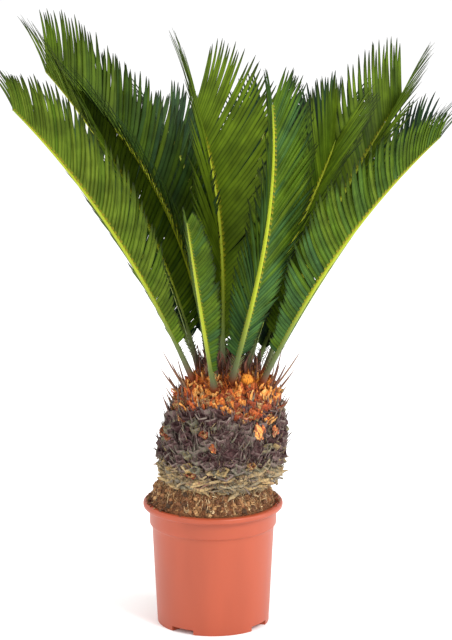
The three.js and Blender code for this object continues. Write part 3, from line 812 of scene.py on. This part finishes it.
def trunk_fibres(dead, rng):
    """Fine fibres all over, rootlets round the foot, and stiff curved spines, the last of the scale leaves."""
    fibres = Sheaf()
    for _ in range(GROWN.fibres):
        q, turn = rng.uniform(*map(length_at, LEVELS.fibres)), rng.uniform(0, TAU)
        spot, out, up, around = trunk_spot(turn, q, rng.uniform(-5, 0.5))
        way = unit(up * rng.uniform(0.5, 1.2) + out * rng.uniform(0.0, 0.4) + around * rng.normal(0, 0.45))
        tone = rng.choice([0.06, 0.16, 0.3, 0.42], p=[0.3, 0.35, 0.22, 0.13]) + rng.normal(0, 0.03)
        if level_of(q) > wool_line(turn):
            tone = rng.uniform(0.58, 0.8)
        hair(fibres, spot, way, *rng.uniform((5, 0.35), (13, 0.75)), rng, tone, 0.35, 0.25)
    for _ in range(GROWN.rootlets):
        spot, out, up, around = anywhere(rng, *LEVELS.rootlets, -4, 0)
        way = unit(around * rng.choice([-1, 1]) + up * rng.normal(-0.3, 0.7) + out * rng.uniform(0, 0.6))
        reach, radius, tone = rng.uniform((6, 0.3, 0.3), (18, 0.55, 0.58))
        hair(fibres, spot, way, reach, radius, rng, tone, 0.7, 0.4)
    for _ in range(GROWN.spines):
        spot, out, up, around = trunk_spot(rng.uniform(0, TAU), length_at(rng.uniform(*LEVELS.spines)), -4)
        way = unit(out * rng.uniform(0.6, 1.1) + up * rng.uniform(0.4, 1.0) + around * rng.normal(0, 0.3))
        path = bowed(spot, way, up * 0.4, rng.uniform(10, 19))
        fibres.strand(path, [1.7, 1.4, 1.0, 0.6, 0.15], 4, 0.7, tone=rng.uniform(0.0, 0.3), edge=0.15)
    fibres.piece("trunk_fibres", [dead], "trunk", sharp=0)


def build_trunk(settings):
    """The trunk: a rough core, wound with old leaf bases, torn wool above and rootlets below."""
    rng = np.random.default_rng(11)
    dead = dry_fibre("trunk_weathered_leaf_bases", [
        (0.0, "#341616"), (0.1, tuple(settings.dark)), (0.2, "#78635E"), (0.3, "#6E6E5A"), (0.42, "#9C8256"),
        (0.55, "#C2A264"), (0.66, "#762C1A"), (0.8, tuple(settings.wool)), (0.9, "#E8943E"), (1.0, "#F8BE70"),
    ], "#C0B4A4", 420.0)
    trunk_core(dead)
    trunk_leaf_bases(dead, rng, settings.scale / MM)
    trunk_torn_wool(dead, rng)
    trunk_foot_flakes(dead, rng)
    trunk_fibres(dead, rng)


# Long stiff scale leaves at the trunk's shoulders: turn in degrees, level, lean from upright, length.
NEEDLES = [
    (187, 330, 34, 58), (190, 331, 24, 40), (182, 320, 42, 40), (196, 310, 38, 28), (172, 318, 40, 24),
    (-8, 328, 38, 60), (-4, 331, 18, 48), (6, 320, 38, 38), (-12, 332, 16, 30), (12, 312, 52, 18),
    (190, 292, 18, 30), (-14, 300, 40, 20), (178, 300, 30, 20), (2, 296, 46, 20),
]


def build_crown():
    """Upright scale leaves and wool between the leaf stalks, and needles at the shoulders."""
    rng = np.random.default_rng(23)
    bristle = dry_fibre("crown_dry_scale_leaves", [
        (0.0, "#2A0F0C"), (0.35, "#5A2016"), (0.6, "#7A4A32"), (0.8, "#8E6E50"), (1.0, "#A89878"),
    ], "#C8B090", 500.0, 0.6, 0.0006)
    wool = dry_fibre("crown_young_wool", [
        (0.0, "#4A1A0E"), (0.4, "#9A4318"), (0.7, "#D97A22"), (1.0, "#F0A838"),
    ], "#F4D8A0", 700.0, 0.95)
    blades = Sheaf()
    for i in range(GROWN.scale_leaves):
        q = TRUNK_END - rng.uniform(6, 46)
        spot, out, up, around = trunk_spot(i * GOLDEN_TURN + rng.normal(0, 0.1), q, -2)
        way = unit(UP * rng.uniform(0.9, 1.4) + out * rng.uniform(0, 0.7) + around * rng.normal(0, 0.15))
        face = unit(np.cross(np.cross(way, out + 0.01), way))
        sizes = rng.uniform((16, 2.6, -0.2), (40, 5.2, 0.35))
        curl(blades, spot, way, face, *sizes, rng, rng.uniform(0, 0.6), 0.1, 0.9)
    for turn, level, lean, reach in NEEDLES:
        for k in range(2):
            spot, out, _, _ = trunk_spot(math.radians(turn + rng.uniform(-5, 5)), length_at(level), -2)
            tilt = math.radians(lean + rng.uniform(-8, 8))
            way = unit(UP * math.cos(tilt) + unit(out * [1, 1, 0]) * math.sin(tilt))
            path = bowed(spot, way, UP * 0.16, reach * (1 - 0.35 * k))
            blades.strand(path, [2.6, 2.3, 1.7, 1.0, 0.2], 5, 0.6, tone=rng.uniform(0.2, 0.8), edge=0.2)
    blades.piece("crown_scale_leaves", [bristle], "trunk", sharp=50)
    tufts = Sheaf()
    for _ in range(GROWN.tufts):
        q = TRUNK_END - rng.uniform(0, 58)
        spot, out, _, _ = trunk_spot(rng.uniform(0, TAU), q, -2)
        patch = 0.5 + 0.5 * noise.noise(Vector(spot * 0.06))
        way = unit(out + rng.normal(0, 0.6, 3))
        sizes = rng.uniform((5, 0.35), (13, 0.7))
        hair(tufts, spot, way, *sizes, rng, np.clip(0.25 + 0.6 * patch + rng.normal(0, 0.15), 0, 1))
    spot, out, up, around = trunk_spot(math.radians(KNOB.turn), length_at(KNOB.level))
    knob = []
    for tilt in math.pi * (np.arange(7) + 0.5) / 7:
        ring = []
        for a in TAU * np.arange(12) / 12:
            way = math.sin(tilt) * (math.cos(a) * around + math.sin(a) * up) - math.cos(tilt) * out
            ring.append(spot + out * 1.5 + way * KNOB.radius * (1 + 0.2 * noise.noise(Vector(way * 2.3))))
        knob.append(ring)
    tufts.skin(facing_out(np.array(knob)), tone=0.8)
    tufts.piece("crown_wool", [wool], "trunk", sharp=60)


# ---- potting mix and pot


def pot_inside(z):
    collar = POT.height - POT.collar_drop
    if z >= collar:
        return POT.collar_radius - POT.wall
    return POT.foot_radius + (POT.wall_top_radius - POT.foot_radius) * z / collar - POT.wall


def soil_level(x, y):
    """The mound's height at a place."""
    r, outer = math.hypot(x, y), pot_inside(SOIL.rim_level)
    share = min(max((outer - r) / (outer - SOIL.inner_radius), 0), 1)
    level = SOIL.rim_level + (SOIL.trunk_level - SOIL.rim_level) * math.sin(share * math.pi / 2)
    lumps = noise.fractal(Vector((x * 0.09, y * 0.09, 0.7)), 1.0, 2.0, 4)
    grit = noise.fractal(Vector((x * 0.35, y * 0.35, 2.7)), 1.0, 2.0, 3)
    ridge = math.exp(-(((r - SOIL.heap_radius) / SOIL.heap_width) ** 2))
    heap = SOIL.heap * ridge * max(0, -math.cos(math.atan2(y, x) + 0.3)) ** 0.5
    return level + heap + (SOIL.lumps * lumps + SOIL.grit * grit) * (0.3 + 0.7 * min(1, max(0, outer - r) / 6))


def crumb(sheaf, centre, size, rng, tone, edge=0.1):
    """A small angular crumb of bark."""
    axis = unit(rng.normal(0, 1, 3))
    side = unit(np.cross(axis, rng.normal(0, 1, 3)))
    turn = TAU * np.arange(5)[:, None] / 5
    spokes = np.cos(turn) * side + np.sin(turn) * np.cross(axis, side)
    rings = []
    for k, swell in ((-1, 0.45), (-0.3, 1.0), (0.4, 0.9), (1, 0.4)):
        reach = size * swell * rng.uniform(0.6, 1.1, (5, 1))
        rings.append(centre + axis * k * size * 0.9 + reach * spokes)
    sheaf.skin(rings, tone=tone, edge=edge)


def on_soil(rng, inner):
    """A place on the mound, as likely anywhere outside the inner radius."""
    return polar(math.sqrt(rng.uniform(inner**2, 83**2)), rng.uniform(0, TAU))


def build_soil(settings):
    """The mound of potting mix with its crumbs, chips and loose fibres."""
    rng = np.random.default_rng(37)
    ground = Sheaf()
    turns = np.linspace(0, TAU, 260, endpoint=False)
    rings = [[(*polar(pot_inside(SOIL.bottom) * 0.99, a), SOIL.bottom) for a in turns]]
    for r in [*np.linspace(SOIL.edge, 20, 64), 6]:
        rings.append([(*polar(r, a), soil_level(*polar(r, a))) for a in turns])
    ground.skin(rings)
    ground.piece("soil_mound", [moist_coir(settings.mix)], "potting_soil", ["soil"], sharp=0)
    bits = dry_fibre("soil_bark_and_fibre", [
        (0.0, "#241209"), (0.3, "#5C331C"), (0.55, "#8F5A35"), (0.8, "#C09460"), (1.0, "#EED2A4"),
    ], "#D8BC90", 700.0, 0.9)
    crumbs = Sheaf()
    for i in range(GROWN.crumbs):
        x, y = on_soil(rng, 50)
        size = rng.uniform(0.7, 2.0) if i % 9 else rng.uniform(2.5, 4.5)
        tone = np.clip(rng.normal(0.38, 0.22), 0, 1)
        crumb(crumbs, np.array([x, y, soil_level(x, y) + size * 0.2]), size, rng, tone)
    for _ in range(GROWN.spilled):
        # Crumbs spilled on top of the rim, most of them at the left and the back.
        r, a = rng.uniform(84, SOIL.spill), math.radians(rng.choice([176, 120, 20]) + rng.normal(0, 26))
        size = rng.uniform(0.7, 1.9)
        level = POT.height + size * 0.4 + (SOIL.spill - r) * 0.5
        crumb(crumbs, np.array([*polar(r, a), level]), size, rng, np.clip(rng.normal(0.35, 0.18), 0, 1))
    # Drifts of pale wood chips near the rim: turn in degrees, distance from the middle, how many.
    for turn, reach, many in ((-87, 79, 16), (-50, 78, 34), (95, 78, 20)):
        for _ in range(many):
            a, r = math.radians(turn + rng.normal(0, 7)), reach + rng.uniform(-6, 3)
            x, y = polar(r, a)
            way = unit(np.array([rng.normal(), rng.normal(), 0.4 * rng.normal()]))
            spot = np.array([x, y, soil_level(x, y) + rng.uniform(0.5, 2.2)])
            sizes = rng.uniform((4, 2, -0.3), (8, 4, 0.5))
            curl(crumbs, spot, way, UP, *sizes, rng, rng.uniform(0.7, 1.0), 0.2, 0.9)
    crumbs.piece("soil_crumbs_and_chips", [bits], "potting_soil", sharp=30)
    threads = Sheaf()
    for _ in range(GROWN.threads):
        place = np.array(on_soil(rng, 58))
        heading, lift, path = rng.uniform(0, TAU), rng.uniform(0.5, 5.0), []
        for k in range(9):
            path.append([*place, soil_level(*place) + 0.5 + lift * math.sin(math.pi * k / 8)])
            heading += rng.normal(0, 1.0)
            place = place + rng.uniform(1.4, 3.2) * np.array(polar(1, heading))
            place *= min(1, SOIL.clear_edge / np.linalg.norm(place))
        threads.strand(path, [rng.uniform(0.25, 0.45)] * 8 + [0.1], 4, tone=rng.uniform(0.35, 0.95), edge=0.15)
    threads.piece("soil_fibres", [bits], "potting_soil", sharp=0)


def pot_outline():
    """The wall's section from the middle of the underside, up the outside and down the inside."""
    collar, top = POT.height - POT.collar_drop, POT.height
    foot, wall, neck, rim = POT.foot_radius, POT.wall_top_radius, POT.collar_radius, POT.rim_radius
    inside, band, roof = pot_inside(top), top - POT.rim_band, NOTCH.height + NOTCH.roof
    outside = [(0.01, 0), (40, 0), (foot - 0.9, 0), (foot - 0.2, 0.3), (foot, 1.2)]
    outside += [(foot + (wall - foot) * k, (collar - 2.5) * k) for k in (0.12, 0.3, 0.5, 0.7, 0.85, 0.96, 1.0)]
    outside += [
        (wall + 0.5, collar - 1.2), (neck - 1.2, collar + 0.4), (neck - 0.4, collar + 1.4), (neck - 0.2, collar + 3),
        (neck - 0.1, collar + 12), (neck, band - 4), (neck + 0.3, band - 1.5), (neck + 1.6, band + 0.2),
        (rim - 3.5, band + 0.6), (rim - 1.4, band + 1.0), (rim - 0.4, band + 2.0), (rim, band + 3.6), (rim, top - 2.8),
        (rim - 0.4, top - 1.4), (rim - 1.3, top - 0.4), (rim - 2.6, top), (inside + 3, top), (inside + 1.4, top - 0.5),
        (inside + 0.4, top - 1.6), (inside, top - 3.5),
    ]
    base = [(pot_inside(roof), roof), (NOTCH.inner_radius - NOTCH.roof, roof),
            (NOTCH.inner_radius - NOTCH.roof, POT.floor), (40, POT.floor), (0.01, POT.floor)]
    return outside + [(inside, collar + 2), (pot_inside(collar - 2), collar - 2)] + base


def build_pot(settings):
    """The pot, turned finely, with drainage notches cut through its foot."""
    plastic = moulded_polypropylene(settings.plastic)
    wide, tall = settings.rim / MM / POT.rim_radius, settings.height / MM / POT.height
    wall = Sheaf()
    turns = np.linspace(0, TAU, 192, endpoint=False)
    wall.skin([[(*polar(wide * r, a), tall * z) for a in turns] for r, z in pot_outline()])
    pot = wall.piece("pot_shell", [plastic], "pot_plastic", ["pot"], sharp=50)
    cutters = []
    inner, roof, half = NOTCH.inner_radius, NOTCH.height, NOTCH.span / 2
    for k in range(NOTCH.count):
        middle = NOTCH.first_angle + 360 * k / NOTCH.count
        angles = np.radians(np.linspace(middle - half, middle + half, 12))
        corners = [(inner, -2), (100, -2), (100, roof), (inner, roof)]
        block = Sheaf()
        block.skin(np.array([[(*polar(r, a), z) for r, z in corners] for a in angles])[:, ::-1])
        cutters.append(block.piece(f"notch_{k}", [plastic], "pot_plastic"))
        cut = pot.modifiers.new("notch", "BOOLEAN")
        cut.operation, cut.solver, cut.object = "DIFFERENCE", "EXACT", cutters[-1]
    bpy.context.view_layer.update()
    cut_mesh = bpy.data.meshes.new_from_object(pot.evaluated_get(bpy.context.evaluated_depsgraph_get()))
    pot.modifiers.clear()
    pot.data = cut_mesh
    pot.data.set_sharp_from_angle(angle=math.radians(50))
    for block in cutters:
        bpy.data.objects.remove(block)


# ---- stage


# Softboxes: place, what they face, size, and power as a share of the key light's.
LIGHTS = {
    "key": ((1.9, -2.3, 2.7), (0, 0, 0.4), (0.9, 0.9), 1.0),
    "left_fill": ((-2.2, -2.0, 1.6), (0, 0, 0.4), (1.2, 1.2), 0.22),
    "right_strip": ((2.3, -0.5, 0.9), (0, 0, 0.3), (0.5, 1.6), 0.2),
    "over": ((-0.3, 0.8, 2.6), (0, 0.1, 0.5), (1.0, 1.0), 0.35),
}
CAMERA = Sizes(place=(0, -4.3, 1.445), down=13.39, aside=-0.235, lens=185.06, sensor=36)
FLOOR_REACH = 14


def build_stage(settings):
    """Paper floor, softboxes, a pale surround and the camera."""
    mesh = bpy.data.meshes.new("floor")
    corners = [(FLOOR_REACH * x, FLOOR_REACH * y, 0) for x, y in ((-1, -1), (1, -1), (1, 1), (-1, 1))]
    mesh.from_pydata(corners, [], [(0, 1, 2, 3)])
    mesh.materials.append(uncoated_paper(settings.floor))
    put("floor", mesh)
    world = bpy.data.worlds.new("studio")
    world.use_nodes = True
    feed(world.node_tree, world.node_tree.nodes["Background"], {"Color": (1, 1, 1, 1), "Strength": 1.0})
    for name, (place, aim, size, share) in LIGHTS.items():
        light = bpy.data.lights.new(name, "AREA")
        light.shape, light.size, light.size_y, light.energy = "RECTANGLE", *size, settings.key * share
        made = put(name, light)
        made.location = place
        made.rotation_euler = (Vector(aim) - Vector(place)).to_track_quat("-Z", "Y").to_euler()
    data = bpy.data.cameras.new("camera")
    data.lens, data.sensor_width = CAMERA.lens, CAMERA.sensor
    camera = put("camera", data)
    camera.location = CAMERA.place
    camera.rotation_euler = (math.radians(90 - CAMERA.down), 0, math.radians(CAMERA.aside))
    scene = bpy.context.scene
    scene.world, scene.camera = world, camera
    scene.view_settings.view_transform = "Standard"


# ---- the add-on


class PALM_OT_pot(bpy.types.Operator):
    """Build the moulded nursery pot."""

    bl_idname = "sago_palm.pot"
    bl_label = "Pot"

    def execute(self, context):
        build_pot(context.scene.palm_pot)
        return {"FINISHED"}


class PALM_OT_soil(bpy.types.Operator):
    """Build the mound of potting mix with its crumbs and fibres."""

    bl_idname = "sago_palm.soil"
    bl_label = "Potting mix"

    def execute(self, context):
        build_soil(context.scene.palm_pot)
        return {"FINISHED"}


class PALM_OT_trunk(bpy.types.Operator):
    """Build the trunk with its old leaf bases, torn wool and fibres."""

    bl_idname = "sago_palm.trunk"
    bl_label = "Trunk"

    def execute(self, context):
        build_trunk(context.scene.palm_trunk)
        return {"FINISHED"}


class PALM_OT_crown(bpy.types.Operator):
    """Build the scale leaves and wool between the leaf stalks."""

    bl_idname = "sago_palm.crown"
    bl_label = "Crown wool"

    def execute(self, context):
        build_crown()
        return {"FINISHED"}


class PALM_OT_ribs(bpy.types.Operator):
    """Build the leaf stalks and ribs."""

    bl_idname = "sago_palm.ribs"
    bl_label = "Ribs"

    def execute(self, context):
        build_ribs(context.scene.palm_frond)
        return {"FINISHED"}


class PALM_OT_leaflets(bpy.types.Operator):
    """Build the leaflets of every frond."""

    bl_idname = "sago_palm.leaflets"
    bl_label = "Leaflets"

    def execute(self, context):
        build_leaflets(context.scene.palm_frond)
        return {"FINISHED"}


class PALM_OT_stage(bpy.types.Operator):
    """Set up the floor, the lights and the camera."""

    bl_idname = "sago_palm.stage"
    bl_label = "Stage"

    def execute(self, context):
        build_stage(context.scene.palm_stage)
        return {"FINISHED"}


OPERATORS = [PALM_OT_pot, PALM_OT_soil, PALM_OT_trunk, PALM_OT_crown, PALM_OT_ribs, PALM_OT_leaflets, PALM_OT_stage]
SETTINGS = {
    "palm_pot": PotSettings, "palm_trunk": TrunkSettings, "palm_frond": FrondSettings, "palm_stage": StageSettings,
}


class PALM_PT_panel(bpy.types.Panel):
    """Sizes, colours and the button of each piece."""

    bl_idname = "PALM_PT_panel"
    bl_label = "Sago Palm"
    bl_space_type = "VIEW_3D"
    bl_region_type = "UI"
    bl_category = "Sago Palm"

    def draw(self, context):
        for name, group in SETTINGS.items():
            box = self.layout.box()
            for key in group.__annotations__:
                box.prop(getattr(context.scene, name), key)
        for operator in OPERATORS:
            self.layout.operator(operator.bl_idname)


CLASSES = [*SETTINGS.values(), *OPERATORS, PALM_PT_panel]


def register():
    for kind in CLASSES:
        bpy.utils.register_class(kind)
    for name, group in SETTINGS.items():
        setattr(bpy.types.Scene, name, bpy.props.PointerProperty(type=group))


def unregister():
    for name in SETTINGS:
        delattr(bpy.types.Scene, name)
    for kind in reversed(CLASSES):
        bpy.utils.unregister_class(kind)


def main():
    register()
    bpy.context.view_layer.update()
    bpy.ops.sago_palm.pot()
    bpy.ops.sago_palm.soil()
    bpy.ops.sago_palm.trunk()
    bpy.ops.sago_palm.crown()
    bpy.ops.sago_palm.ribs()
    bpy.ops.sago_palm.leaflets()
    bpy.ops.sago_palm.stage()


if __name__ == "__main__":
    main()
